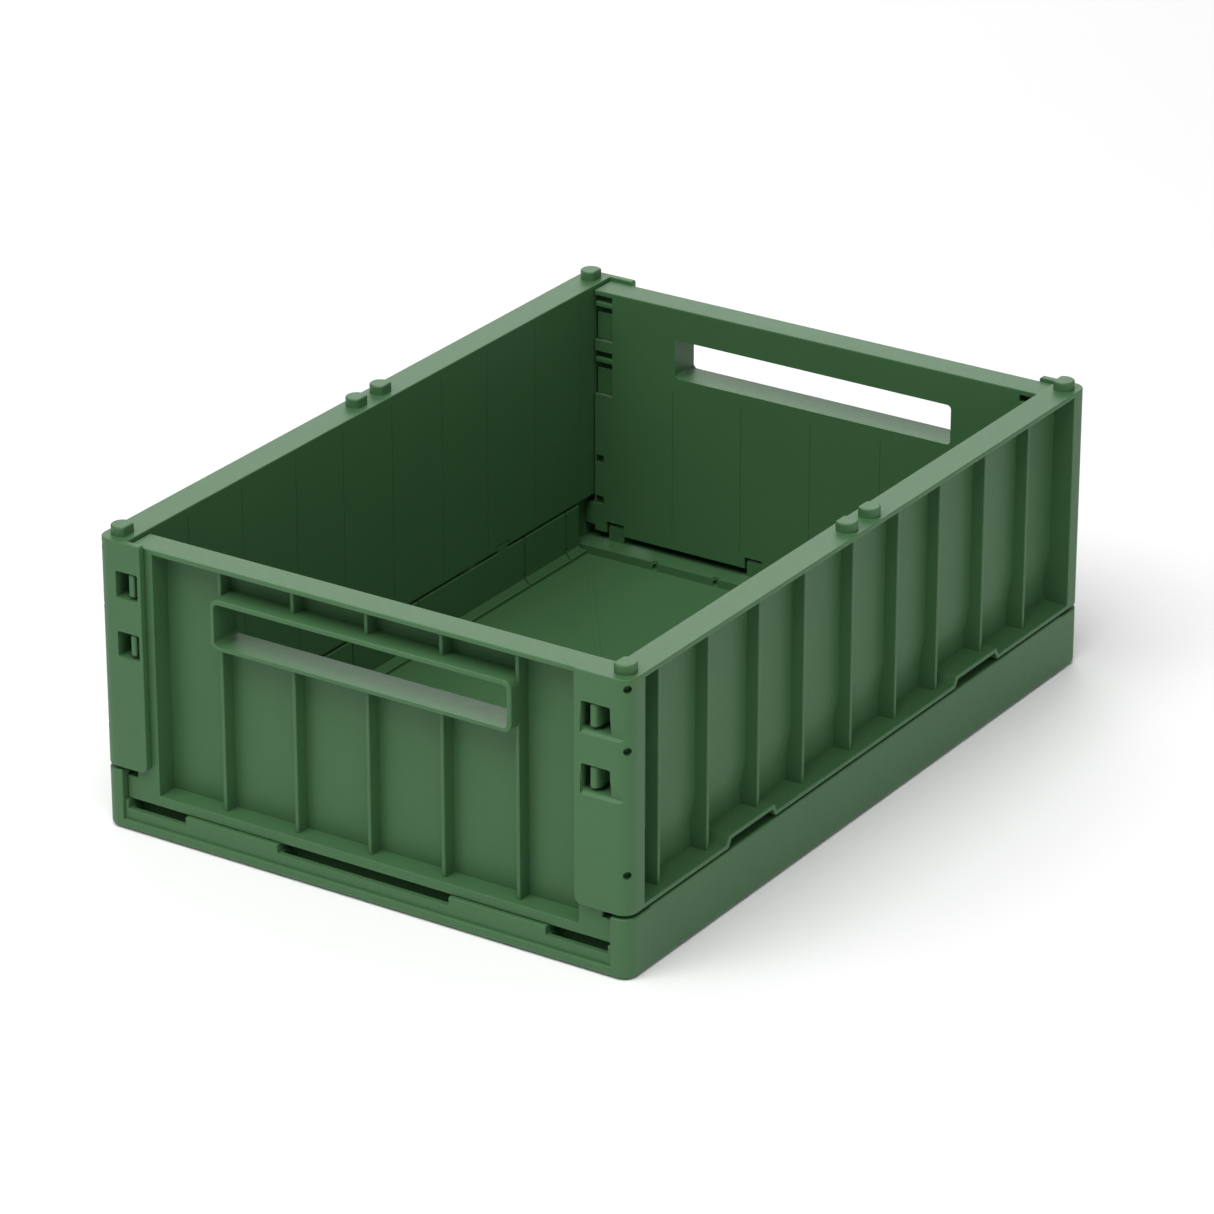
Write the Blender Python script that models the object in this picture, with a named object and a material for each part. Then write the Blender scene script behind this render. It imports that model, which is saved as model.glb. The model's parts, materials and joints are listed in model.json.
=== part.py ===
"""Collapsible storage crate: a base tray, two long walls, two end walls and the snap latches.

The crate stands upright with its walls locked. +Z is up, X runs across the crate and Y along it, and
the origin is on the ground under its middle. Sizes are in millimetres here and become metres in
every mesh. The long wall is drawn once at +X and the end wall once at -Y: the opposite wall is
the same moulding turned half round.
"""
import math

import bmesh
import bpy
from mathutils import Matrix, Vector

MM = 0.001

# Overall size
HALF_WIDTH = 125.0
HALF_LENGTH = 176.0
RIM_TOP = 126.0
CORNER_RADIUS = 6.0
ARC_STEPS = 5

# Base tray
FLOOR_TOP = 3.0
FLOOR_RELIEF = 0.8
RELIEF_X = 102.6
RELIEF_Y = 142.0
BAND_TOP = 4.5
RAIL_TOP = 26.5
RAIL_INNER_TOP = 24.3
CHANNEL_X = 116.6
CURB_X = 111.5
CURB_Y = (-148.0, 148.0)
CURB_FOOT_X = 108.6
CURB_FOOT_TOP = 7.0
SKIN = 2.0
POST_X = 116.2
POST_Y = 160.5
POST_TOP = 26.0
END_RAIL_Y = 174.5
END_RAIL_INNER_Y = 166.3
END_RAIL_TOP = 12.7
END_CURB_Y = (150.0, 152.0)
END_CURB_TOP = 7.0
TRENCH_TOP = 6.6
MIDDLE_HOLLOW = (-23.0, 23.0)
SIDE_HOLLOWS = ((-147.0, -75.0), (-73.0, -25.0), (25.0, 73.0), (75.0, 147.0))
WEB_X = (117.2, 119.4)
SOCKET_X = 113.2
SOCKET_Y = 161.0
SOCKET_TOP = 6.3
END_HOLLOWS = ((-109.0, -57.0), (-55.0, -1.0), (1.0, 55.0), (57.0, 109.0))
END_HOLLOW_Y = 152.5
END_SLOT_FLOOR = 10.2
SLIT_FLOOR = 3.6
SLIT = 1.0
LONG_SLITS = (24.0, 105.0, 137.5)
END_SLITS = (41.5, 73.0)

# Long walls
LONG_X = (111.5, 125.0)
LONG_PANEL_X = 115.5
LONG_RIB_X = 121.0
LONG_Z = (27.5, RIM_TOP)
PLATE = 2.0
COLUMN_Y = 164.7
FLANGE_Y = (172.9, HALF_LENGTH)
FLANGE_X_WIDE = 100.0
FLANGE_X_NARROW = 103.5
FLANGE_CORNER = 3.5
LONG_RIBS = (-148.6, -113.7, -76.9, -43.2, -6.7, 28.3, 61.2, 97.9, 133.8)
RIB = 2.0
NOTCH_Y = (67.7, 107.6)
NOTCH_TOP = 31.2
NOTCH_SLOPE = 3.4
NOTCH_LIP = 1.8
STUD_RADIUS = 4.6
STUD_TOP = 130.0
STUD_FLAT = 3.4
CORNER_STUD = (118.0, 167.6)
MID_STUDS_Y = (-8.6, 8.6)
MID_STUD_X = 118.4
PIN_HOLE_RADIUS = 1.5
PIN_HOLE_DEPTH = 3.0
PIN_HOLE_HEIGHTS = (44.6, 96.4, 122.0)

# End walls
END_HALF = 111.2
END_FOOT_HALF = 115.9
END_FOOT_TOP = 23.2
END_Y = (159.4, 172.7)
END_PANEL_Y = 163.0
END_RIB_Y = 169.2
END_Z = (13.0, 124.5)
END_FRAME_X = 100.0
END_BOTTOM_RAIL_TOP = 17.5
END_RIBS = (-70.0, -35.0, 0.0, 35.0, 70.0)
HANDLE_HALF = 71.0
HANDLE_Z = (90.0, 112.0)
HANDLE_Y = 174.7
HANDLE_WALL = 2.0
HANDLE_CORNER = 4.0

# Latches: two on each side edge of each end wall, in the windows of the long walls' flanges
LATCH_Z = ((76.5, 87.5), (102.0, 113.5))
WINDOW_X_WIDE = (103.4, 116.5)
WINDOW_X_NARROW = (105.0, 115.6)
WINDOW_POCKET_Y = 166.5
LATCH_NOTCH_X = 101.6
LATCH_NOTCH_Y = 170.0
LATCH_NOTCH_MARGIN = 0.8
LATCH_NOTCH_RISE = 8.9
LATCH_MOUTH_X_WIDE = 102.4
LATCH_MOUTH_X_NARROW = 104.4
LATCH_BAR_Y = (159.4, 162.0)
LATCH_BAR_RISE = (3.7, 5.7)
LATCH_PLATE_X = (101.9, 110.4)
LATCH_PLATE_Y = (161.2, 163.0)
LATCH_PLATE_MARGIN = 0.4
LATCH_HEAD_X = (107.0, 110.8)
LATCH_HEAD_Y = 175.4
LATCH_HEAD_FOOT = 2.3
LATCH_HEAD_GAP = 0.6
LATCH_RAMP = 2.4

# Snap hinges: a journal moulded on the wall, held in an open clip on the tray
END_AXIS = (164.0, 12.0)
END_JOURNALS = ((-114.6, -86.0), (-41.0, 41.0), (86.0, 114.6))
END_CLIPS = (-100.0, -28.0, 28.0, 100.0)
LONG_AXIS = (115.0, 28.4)
LONG_CLIPS = (-88.0, 88.0)
JOURNAL_RADIUS = 1.8
CLIP_BORE = 2.1
CLIP_RADIUS = 3.4
CLIP_WIDTH = 8.0
CLIP_ROOM = 0.5
CLIP_MOUTH = 1.5
ROUND_STEPS = 16

GREEN = (0.055, 0.135, 0.060, 1.0)


def clear_scene():
    for old in list(bpy.data.objects):
        bpy.data.objects.remove(old, do_unlink=True)


def plastic(name, colour=GREEN):
    material = bpy.data.materials.new(name)
    material.use_nodes = True
    shader = material.node_tree.nodes["Principled BSDF"]
    shader.inputs["Base Color"].default_value = colour
    shader.inputs["Roughness"].default_value = 0.5
    shader.inputs["Metallic"].default_value = 0.0
    return material


# ---------------------------------------------------------------- shells drawn in a bmesh

def block(mesh, x, y, z):
    """One box from its low and high values along each axis."""
    corners = [Vector((x[i & 1], y[i >> 1 & 1], z[i >> 2])) * MM for i in range(8)]
    verts = [mesh.verts.new(corner) for corner in corners]
    for loop in ((0, 2, 3, 1), (4, 5, 7, 6), (0, 1, 5, 4), (1, 3, 7, 5), (3, 2, 6, 7), (2, 0, 4, 6)):
        mesh.faces.new([verts[i] for i in loop])


def prism(mesh, outline, low, high, axis="z"):
    """An outline of (u, v) points drawn out along one axis. u and v are the other two axes, in order."""
    places = {"x": lambda u, v, w: (w, u, v), "y": lambda u, v, w: (u, w, v), "z": lambda u, v, w: (u, v, w)}
    place = places[axis]
    ends = []
    for level in (low, high):
        ends.append([mesh.verts.new(Vector(place(u, v, level)) * MM) for u, v in outline])
    faces = [mesh.faces.new(ends[0]), mesh.faces.new(ends[1])]
    count = len(outline)
    for i in range(count):
        j = (i + 1) % count
        faces.append(mesh.faces.new((ends[0][i], ends[0][j], ends[1][j], ends[1][i])))
    bmesh.ops.recalc_face_normals(mesh, faces=faces)


def arc(centre, radius, start, stop, steps):
    """Points on an arc, in degrees, both ends included."""
    points = []
    for i in range(steps + 1):
        angle = math.radians(start + (stop - start) * i / steps)
        points.append((centre[0] + radius * math.cos(angle), centre[1] + radius * math.sin(angle)))
    return points


def rounded(u, v, radii):
    """A rectangle's outline with a radius for each corner: low-low, high-low, high-high, low-high."""
    corners = ((u[0], v[0], 1, 1, 180), (u[1], v[0], -1, 1, 270), (u[1], v[1], -1, -1, 0), (u[0], v[1], 1, -1, 90))
    outline = []
    for (cu, cv, su, sv, start), radius in zip(corners, radii):
        if radius:
            centre = (cu + su * radius, cv + sv * radius)
            outline += arc(centre, radius, start, start + 90, ARC_STEPS)
        else:
            outline.append((cu, cv))
    return outline


def mirrored(sign, low, high):
    """The span from low to high, on the side of zero that sign says."""
    return tuple(sorted((sign * low, sign * high)))


def rod(mesh, centre, radius, low, high, axis, steps=ROUND_STEPS):
    outline = arc(centre, radius, 0, 360 - 360 / steps, steps - 1)
    prism(mesh, outline, low, high, axis)


def clip_outline(centre, foot):
    """A ring around the journal, open at the top, on a stem down to the level foot."""
    cu, cv = centre
    mouth_in = math.degrees(math.asin(CLIP_MOUTH / CLIP_BORE))
    mouth_out = math.degrees(math.asin(CLIP_MOUTH / CLIP_RADIUS))
    inner = arc(centre, CLIP_BORE, 90 - mouth_in, -270 + mouth_in, ROUND_STEPS)
    outer_left = arc(centre, CLIP_RADIUS, 90 + mouth_out, 180, ARC_STEPS)
    outer_right = arc(centre, CLIP_RADIUS, 0, 90 - mouth_out, ARC_STEPS)
    return inner + outer_left + [(cu - CLIP_RADIUS, foot), (cu + CLIP_RADIUS, foot)] + outer_right


# ---------------------------------------------------------------- bodies made of shells

def shell_object(name, draw):
    """A mesh object from a function that draws closed shells."""
    mesh = bmesh.new()
    draw(mesh)
    data = bpy.data.meshes.new(name)
    mesh.to_mesh(data)
    mesh.free()
    made = bpy.data.objects.new(name, data)
    bpy.context.scene.collection.objects.link(made)
    return made


def tool(name, draw):
    made = shell_object(name, draw)
    made.hide_render = True
    made.display_type = "WIRE"
    return made


def boolean(target, operation, other):
    step = target.modifiers.new(other.name, "BOOLEAN")
    step.operation = operation
    step.solver = "EXACT"
    step.use_self = True
    step.object = other


def flatten(target):
    """Apply the modifiers, so the opposite wall can share the finished mesh."""
    graph = bpy.context.evaluated_depsgraph_get()
    finished = bpy.data.meshes.new_from_object(target.evaluated_get(graph))
    tools = [step.object for step in target.modifiers]
    target.modifiers.clear()
    target.data = finished
    for used in tools:
        bpy.data.objects.remove(used, do_unlink=True)


def moulding(name, core, joined, cutters, late=None):
    """core, with joined added to it, cutters taken out, and late added last."""
    target = shell_object(name, core)
    boolean(target, "UNION", tool(name + "_joined", joined))
    boolean(target, "DIFFERENCE", tool(name + "_cutters", cutters))
    if late:
        boolean(target, "UNION", tool(name + "_late", late))
    flatten(target)
    target.data.name = name
    target.data.materials.clear()
    target.data.materials.append(plastic(name + "_plastic"))
    return target


def turned_copy(source, name):
    """The same moulding turned half round about Z, with a material of its own."""
    data = source.data.copy()
    data.transform(Matrix.Rotation(math.pi, 4, "Z"))
    data.name = name
    data.materials.clear()
    data.materials.append(plastic(name + "_plastic"))
    made = bpy.data.objects.new(name, data)
    bpy.context.scene.collection.objects.link(made)
    return made


# ---------------------------------------------------------------- base tray

def base_core(mesh):
    x = (-HALF_WIDTH, HALF_WIDTH)
    y = (-HALF_LENGTH, HALF_LENGTH)
    prism(mesh, rounded(x, y, [CORNER_RADIUS] * 4), 0.0, BAND_TOP)


def base_joined(mesh):
    for side in (-1, 1):
        rail_x = mirrored(side, CHANNEL_X, HALF_WIDTH)
        block(mesh, rail_x, (-POST_Y, POST_Y), (1.0, RAIL_TOP))
        block(mesh, mirrored(side, CURB_X, CHANNEL_X + 1), CURB_Y, (1.0, RAIL_INNER_TOP))
        buried = side * (CURB_X + 1)
        foot = [(buried, 1.0), (buried, CURB_FOOT_TOP), (side * CURB_X, CURB_FOOT_TOP)]
        foot += [(side * CURB_FOOT_X, FLOOR_TOP), (side * CURB_FOOT_X, 1.0)]
        prism(mesh, foot, *CURB_Y, "y")
        for end in (-1, 1):
            post_y = mirrored(end, POST_Y - 1, HALF_LENGTH)
            radii = [0.0] * 4
            radii[{(-1, -1): 0, (1, -1): 1, (1, 1): 2, (-1, 1): 3}[(side, end)]] = CORNER_RADIUS
            post_x = mirrored(side, POST_X, HALF_WIDTH)
            prism(mesh, rounded(post_x, post_y, radii), 1.0, POST_TOP)
        for middle in LONG_CLIPS:
            outline = [(side * u, v) for u, v in clip_outline(LONG_AXIS, RAIL_INNER_TOP - 2)]
            prism(mesh, outline, middle - CLIP_WIDTH / 2, middle + CLIP_WIDTH / 2, "y")
    for end in (-1, 1):
        wide = (-POST_X - 1, POST_X + 1)
        block(mesh, wide, mirrored(end, END_RAIL_INNER_Y, END_RAIL_Y), (1.0, END_RAIL_TOP))
        block(mesh, wide, mirrored(end, END_CURB_Y[0], END_RAIL_INNER_Y + 1), (1.0, TRENCH_TOP))
        block(mesh, (-CURB_X - 1, CURB_X + 1), mirrored(end, *END_CURB_Y), (1.0, END_CURB_TOP))
        for middle in END_CLIPS:
            outline = [(end * u, v) for u, v in clip_outline(END_AXIS, TRENCH_TOP - 2)]
            prism(mesh, outline, middle - CLIP_WIDTH / 2, middle + CLIP_WIDTH / 2, "x")


def base_cutters(mesh):
    # The tray's inside, down to the floor
    block(mesh, (-CURB_FOOT_X, CURB_FOOT_X), (-END_CURB_Y[0], END_CURB_Y[0]), (FLOOR_TOP, 40.0))
    # A shallow relief under the floor, so the crate stands on its edge
    block(mesh, (-RELIEF_X, RELIEF_X), (-RELIEF_Y, RELIEF_Y), (-5.0, FLOOR_RELIEF))
    for side in (-1, 1):
        # The hollow rails, open below. The studs of another crate go into the wide middle hollow,
        # and a lengthwise web stiffens the others
        hollow_z = (-5.0, RAIL_INNER_TOP - SKIN)
        block(mesh, mirrored(side, CURB_X + SKIN, HALF_WIDTH - SKIN), MIDDLE_HOLLOW, hollow_z)
        for hollow_y in SIDE_HOLLOWS:
            for hollow_x in ((CURB_X + SKIN, WEB_X[0]), (WEB_X[1], HALF_WIDTH - SKIN)):
                block(mesh, mirrored(side, *hollow_x), hollow_y, hollow_z)
        for end in (-1, 1):
            y = mirrored(end, SOCKET_Y, HALF_LENGTH - SKIN - 1)
            block(mesh, mirrored(side, SOCKET_X, HALF_WIDTH - SKIN), y, (-5.0, SOCKET_TOP))
        # Slits that free the curb's flexible tabs
        for middle in LONG_SLITS:
            for sign in (-1, 1):
                y = (sign * middle - SLIT / 2, sign * middle + SLIT / 2)
                x = mirrored(side, CURB_FOOT_X - 3, CURB_X + SKIN + 1)
                block(mesh, x, y, (SLIT_FLOOR, RAIL_INNER_TOP + 5))
    for end in (-1, 1):
        # The end rails' hollows, and the slots along their top edge in front of the journals
        hollow_y = mirrored(end, END_HOLLOW_Y, END_RAIL_Y - SKIN)
        for hollow_x in END_HOLLOWS:
            block(mesh, hollow_x, hollow_y, (-5.0, TRENCH_TOP - SKIN))
        for low, high in END_JOURNALS:
            slot_y = mirrored(end, END_RAIL_INNER_Y - 2, END_RAIL_Y + 2)
            block(mesh, (low, high), slot_y, (END_SLOT_FLOOR, 20.0))
        for middle in END_SLITS:
            for sign in (-1, 1):
                x = (sign * middle - SLIT / 2, sign * middle + SLIT / 2)
                block(mesh, x, mirrored(end, END_CURB_Y[0] - 1, END_CURB_Y[1] + 0.4), (SLIT_FLOOR, 20.0))


def base_tray():
    return moulding("base_tray", base_core, base_joined, base_cutters)


# ---------------------------------------------------------------- long wall, drawn at +X

def long_core(mesh):
    block(mesh, (LONG_X[0], LONG_PANEL_X), (-COLUMN_Y - 2, COLUMN_Y + 2), LONG_Z)


def stud(mesh, x, y):
    """A low D-shaped stud, flat towards the crate's inside."""
    lean = math.degrees(math.asin(STUD_FLAT / STUD_RADIUS))
    outline = arc((x, y), STUD_RADIUS, -90 - lean, 90 + lean, ROUND_STEPS)
    prism(mesh, outline, RIM_TOP - 1.0, STUD_TOP)


def long_joined(mesh):
    x = LONG_X
    inner_y = (-COLUMN_Y - 2, COLUMN_Y + 2)
    block(mesh, x, inner_y, (RIM_TOP - PLATE, RIM_TOP))
    block(mesh, x, inner_y, (LONG_Z[0], LONG_Z[0] + PLATE))
    for middle in LONG_RIBS:
        rib_y = (middle - RIB / 2, middle + RIB / 2)
        block(mesh, (LONG_PANEL_X - 1, LONG_RIB_X), rib_y, (LONG_Z[0] + 1, RIM_TOP - 1))
    for end, flange_x in ((-1, FLANGE_X_WIDE), (1, FLANGE_X_NARROW)):
        column_y = mirrored(end, COLUMN_Y, HALF_LENGTH)
        radii = [0.0, CORNER_RADIUS if end < 0 else 0.0, CORNER_RADIUS if end > 0 else 0.0, 0.0]
        prism(mesh, rounded(x, column_y, radii), *LONG_Z)
        flange_y = mirrored(end, *FLANGE_Y)
        outline = rounded((flange_x, LONG_X[0] + 2), LONG_Z, [FLANGE_CORNER, 0.0, 0.0, 1.0])
        prism(mesh, outline, *flange_y, "y")
        stud(mesh, CORNER_STUD[0], end * CORNER_STUD[1])
        arch = [(NOTCH_Y[0], LONG_Z[0]), (NOTCH_Y[0] + NOTCH_SLOPE, NOTCH_TOP + NOTCH_LIP)]
        arch += [(NOTCH_Y[1] - NOTCH_SLOPE, NOTCH_TOP + NOTCH_LIP), (NOTCH_Y[1], LONG_Z[0])]
        prism(mesh, [(end * u, v) for u, v in arch], LONG_PANEL_X - 1, LONG_X[1], "x")
    for middle in MID_STUDS_Y:
        stud(mesh, MID_STUD_X, middle)


def long_cutters(mesh):
    for end, window_x in ((-1, WINDOW_X_WIDE), (1, WINDOW_X_NARROW)):
        through = mirrored(end, FLANGE_Y[0] - 1, HALF_LENGTH + 2)
        pocket = mirrored(end, WINDOW_POCKET_Y, HALF_LENGTH + 2)
        for z in LATCH_Z:
            block(mesh, window_x, through, z)
            block(mesh, (LONG_X[0] - 1, window_x[1]), pocket, z)
        for height in PIN_HOLE_HEIGHTS:
            corner = Vector((HALF_WIDTH - CORNER_RADIUS, end * (HALF_LENGTH - CORNER_RADIUS), height))
            outward = Vector((1, end, 0)).normalized()
            place = Matrix.Translation((corner + outward * CORNER_RADIUS) * MM)
            place @= outward.to_track_quat("Z", "Y").to_matrix().to_4x4()
            bmesh.ops.create_cone(
                mesh, cap_ends=True, segments=8, radius1=PIN_HOLE_RADIUS * MM, radius2=PIN_HOLE_RADIUS * MM,
                depth=2 * PIN_HOLE_DEPTH * MM, matrix=place)
        slope = NOTCH_SLOPE * (NOTCH_TOP - LONG_Z[0] + 1) / (NOTCH_TOP + NOTCH_LIP - LONG_Z[0])
        inset = NOTCH_LIP
        arch = [(NOTCH_Y[0] + inset, LONG_Z[0] - 1), (NOTCH_Y[0] + inset + slope, NOTCH_TOP)]
        arch += [(NOTCH_Y[1] - inset - slope, NOTCH_TOP), (NOTCH_Y[1] - inset, LONG_Z[0] - 1)]
        prism(mesh, [(end * u, v) for u, v in arch], LONG_PANEL_X + 1, LONG_X[1] + 1, "x")
    for middle in LONG_CLIPS:
        half = CLIP_WIDTH / 2 + CLIP_ROOM
        rod(mesh, LONG_AXIS, CLIP_RADIUS + CLIP_ROOM, middle - half, middle + half, "y")


def long_late(mesh):
    for end in (-1, 1):
        span = mirrored(end, NOTCH_Y[0] + 5, NOTCH_Y[1] - 5)
        rod(mesh, LONG_AXIS, JOURNAL_RADIUS, *span, "y")


def long_walls():
    wall = moulding("long_wall_right", long_core, long_joined, long_cutters, long_late)
    return wall, turned_copy(wall, "long_wall_left")


# ---------------------------------------------------------------- end wall, drawn at -Y

def end_y(a, b):
    return (-b, -a)


def end_core(mesh):
    block(mesh, (-END_HALF, END_HALF), end_y(END_Y[0], END_PANEL_Y), END_Z)


def end_joined(mesh):
    depth = end_y(*END_Y)
    foot = (-END_FOOT_HALF, END_FOOT_HALF)
    block(mesh, (-END_HALF, END_HALF), depth, (END_Z[1] - PLATE, END_Z[1]))
    block(mesh, foot, depth, (END_Z[0], END_BOTTOM_RAIL_TOP))
    for side in (-1, 1):
        frame_x = mirrored(side, END_FRAME_X, END_HALF)
        block(mesh, frame_x, depth, END_Z)
        foot_x = mirrored(side, END_FRAME_X, END_FOOT_HALF)
        block(mesh, foot_x, depth, (END_Z[0], END_FOOT_TOP))
    for middle in END_RIBS:
        rib_x = (middle - RIB / 2, middle + RIB / 2)
        block(mesh, rib_x, end_y(END_PANEL_Y - 1, END_RIB_Y), (END_Z[0] + 1, END_Z[1] - 1))
    outline = rounded((-HANDLE_HALF, HANDLE_HALF), HANDLE_Z, [HANDLE_CORNER] * 4)
    prism(mesh, outline, *end_y(END_Y[0] + 1, HANDLE_Y), "y")


def end_cutters(mesh):
    grip_x = (-HANDLE_HALF + HANDLE_WALL, HANDLE_HALF - HANDLE_WALL)
    grip_z = (HANDLE_Z[0] + HANDLE_WALL, HANDLE_Z[1] - HANDLE_WALL)
    radius = HANDLE_CORNER - HANDLE_WALL
    prism(mesh, rounded(grip_x, grip_z, [radius] * 4), *end_y(END_Y[0] - 5, HANDLE_Y + 5), "y")
    # Room for each latch's plate and a slot above it, and a mouth in the frame's skin for its head
    for side, mouth_x in ((-1, LATCH_MOUTH_X_NARROW), (1, LATCH_MOUTH_X_WIDE)):
        for low, high in LATCH_Z:
            start = low - LATCH_NOTCH_MARGIN
            notch_x = mirrored(side, LATCH_NOTCH_X, END_HALF + 2)
            block(mesh, notch_x, end_y(END_Y[0] - 1, LATCH_NOTCH_Y), (start, high + LATCH_NOTCH_RISE))
            skin_x = mirrored(side, mouth_x, END_HALF + 1)
            block(mesh, skin_x, end_y(LATCH_NOTCH_Y - 1, END_Y[1] + 1), (start, high + LATCH_NOTCH_MARGIN))
    # Room for the clips, and for their stems when the wall lies flat
    for middle in END_CLIPS:
        half = CLIP_WIDTH / 2 + CLIP_ROOM
        axis = (-END_AXIS[0], END_AXIS[1])
        reach = CLIP_RADIUS + CLIP_ROOM
        rod(mesh, axis, reach, middle - half, middle + half, "x")
        stem_y = end_y(END_Y[0] - 1, END_AXIS[0])
        block(mesh, (middle - half, middle + half), stem_y, (END_AXIS[1], END_AXIS[1] + reach))


def end_late(mesh):
    for low, high in END_JOURNALS:
        rod(mesh, (-END_AXIS[0], END_AXIS[1]), JOURNAL_RADIUS, low, high, "x")
    # A bar across the slot above each latch
    for side in (-1, 1):
        bar_x = mirrored(side, LATCH_NOTCH_X - 0.5, LATCH_PLATE_X[1])
        for low, high in LATCH_Z:
            bar_z = (high + LATCH_BAR_RISE[0], high + LATCH_BAR_RISE[1])
            block(mesh, bar_x, end_y(*LATCH_BAR_Y), bar_z)


def end_walls():
    wall = moulding("end_wall_front", end_core, end_joined, end_cutters, end_late)
    return wall, turned_copy(wall, "end_wall_rear")


# ---------------------------------------------------------------- latches

def latch(name, side, end, window_z):
    """A snap tongue: a springy plate, and a ramped head that stands in the flange's window."""
    low, high = window_z

    def head(mesh):
        z = (low + LATCH_HEAD_FOOT, high - LATCH_HEAD_GAP)
        root = LATCH_PLATE_Y[0] + 1
        outline = [(LATCH_HEAD_X[0], root), (LATCH_HEAD_X[1], root)]
        outline += [(LATCH_HEAD_X[1], LATCH_HEAD_Y - LATCH_RAMP)]
        outline += [(LATCH_HEAD_X[1] - LATCH_RAMP / 2, LATCH_HEAD_Y), (LATCH_HEAD_X[0], LATCH_HEAD_Y)]
        prism(mesh, [(side * u, end * v) for u, v in outline], *z)

    def plate(mesh):
        x = mirrored(side, *LATCH_PLATE_X)
        y = mirrored(end, *LATCH_PLATE_Y)
        block(mesh, x, y, (low - LATCH_PLATE_MARGIN, high + LATCH_PLATE_MARGIN))

    made = shell_object(name, head)
    boolean(made, "UNION", tool(name + "_plate", plate))
    flatten(made)
    made.data.materials.clear()
    made.data.materials.append(plastic(name + "_plastic"))
    return made


def latches():
    for end, end_name in ((-1, "front"), (1, "rear")):
        for side, side_name in ((-1, "left"), (1, "right")):
            for window_z, level in zip(LATCH_Z, ("lower", "upper")):
                latch("latch_%s_%s_%s" % (end_name, side_name, level), side, end, window_z)


def main():
    clear_scene()
    base_tray()
    long_walls()
    end_walls()
    latches()


main()
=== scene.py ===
"""Collapsible storage crate in green polypropylene: the fine meshes, materials, light and camera.

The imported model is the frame. Every moulding here replaces the CAD node of the same name and rides on
its body. Sizes are in millimetres and become metres in each mesh. The long wall is drawn at +X and
the end wall at -Y; the opposite wall is the same moulding turned half round about Z.
"""
import json
import math

import bmesh
import bpy
from mathutils import Matrix, Vector

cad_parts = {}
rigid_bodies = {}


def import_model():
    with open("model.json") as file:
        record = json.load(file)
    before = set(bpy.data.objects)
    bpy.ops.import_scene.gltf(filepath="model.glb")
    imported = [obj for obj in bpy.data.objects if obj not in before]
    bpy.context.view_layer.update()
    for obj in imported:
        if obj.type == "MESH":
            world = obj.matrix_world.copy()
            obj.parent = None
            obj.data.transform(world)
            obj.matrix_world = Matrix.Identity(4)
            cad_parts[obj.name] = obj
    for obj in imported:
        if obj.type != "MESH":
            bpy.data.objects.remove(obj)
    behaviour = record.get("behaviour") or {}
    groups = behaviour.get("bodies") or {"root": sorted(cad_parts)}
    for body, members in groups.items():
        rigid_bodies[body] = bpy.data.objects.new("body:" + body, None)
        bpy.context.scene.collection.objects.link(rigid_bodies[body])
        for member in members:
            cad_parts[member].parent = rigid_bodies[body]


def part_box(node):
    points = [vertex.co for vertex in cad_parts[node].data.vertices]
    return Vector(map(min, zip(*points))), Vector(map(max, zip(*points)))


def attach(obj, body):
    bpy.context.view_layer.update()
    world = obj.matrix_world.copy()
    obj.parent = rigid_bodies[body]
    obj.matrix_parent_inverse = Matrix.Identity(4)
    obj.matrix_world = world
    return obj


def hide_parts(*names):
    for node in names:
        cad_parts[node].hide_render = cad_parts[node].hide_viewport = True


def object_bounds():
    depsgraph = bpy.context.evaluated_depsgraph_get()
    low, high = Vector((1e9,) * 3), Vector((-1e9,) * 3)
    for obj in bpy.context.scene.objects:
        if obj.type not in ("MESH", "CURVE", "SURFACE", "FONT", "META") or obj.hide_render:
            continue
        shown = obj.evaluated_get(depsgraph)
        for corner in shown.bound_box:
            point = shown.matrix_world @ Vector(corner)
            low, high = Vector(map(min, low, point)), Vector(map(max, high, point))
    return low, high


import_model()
CAD_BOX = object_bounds()

MM = 0.001
FINE = 0.45          # radius of an ordinary moulded edge
SOFT = 0.8           # radius of an edge that a hand meets
THIN = 0.25          # radius on small details
OVER = 1.0           # how far a shell runs into its neighbour, or a cutter past a face
ARC_STEPS = 8
ROUND_STEPS = 32
EDGE_SEGMENTS = 3    # steps in the rounding of an edge
SOFT_SEGMENTS = 4
FOOT_SEGMENTS = 5
LINE_SEGMENTS = 2
SHARP = math.radians(33)
LEVEL = 0.001        # two corners closer in height than this are level
NORMAL_WEIGHT = 60

# The main planes, read from the frame
HALF_WIDTH, HALF_LENGTH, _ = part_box("base_tray")[1] / MM
STUD_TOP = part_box("long_wall_right")[1].z / MM
END_FOOT_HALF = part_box("end_wall_front")[1].x / MM
CORNER_RADIUS = 6.0

# Base tray
FLOOR_TOP = 3.0
FLOOR_LOW = 0.8
FLOOR_LINE = 0.25
FLOOR_LINE_WIDTH = 2.4
FLOOR_LINE_EDGE = 0.1
FLOOR_LINE_MARGIN = (6.0, 8.0)
UNDER_LINE_FOOT = 0.05
BAND_TOP = 4.5
FOOT_RADIUS = 2.2
RAIL_TOP = 26.5
RAIL_INNER_TOP = 26.2
CHANNEL_X = 116.6
CURB_X = 111.5
CURB_END = 148.0
CURB_FOOT_X = 108.6
CURB_FOOT_TOP = 7.0
CURB_FOOT_EDGE = 0.2
SKIN = 2.0
POST_X = 116.2
POST_Y = 160.5
POST_TOP = 26.0
END_RAIL_Y = (166.3, 174.5)
END_RAIL_TOP = 12.7
END_SLOT_FLOOR = 9.2
END_POCKET_FLOOR = 5.8
END_POCKET_WALL = 0.2
END_CURB_Y = (150.0, 152.0)
END_CURB_TOP = 7.0
TRENCH_TOP = 6.6
RELIEF_X = 102.6
RELIEF_Y = 142.0
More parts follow.
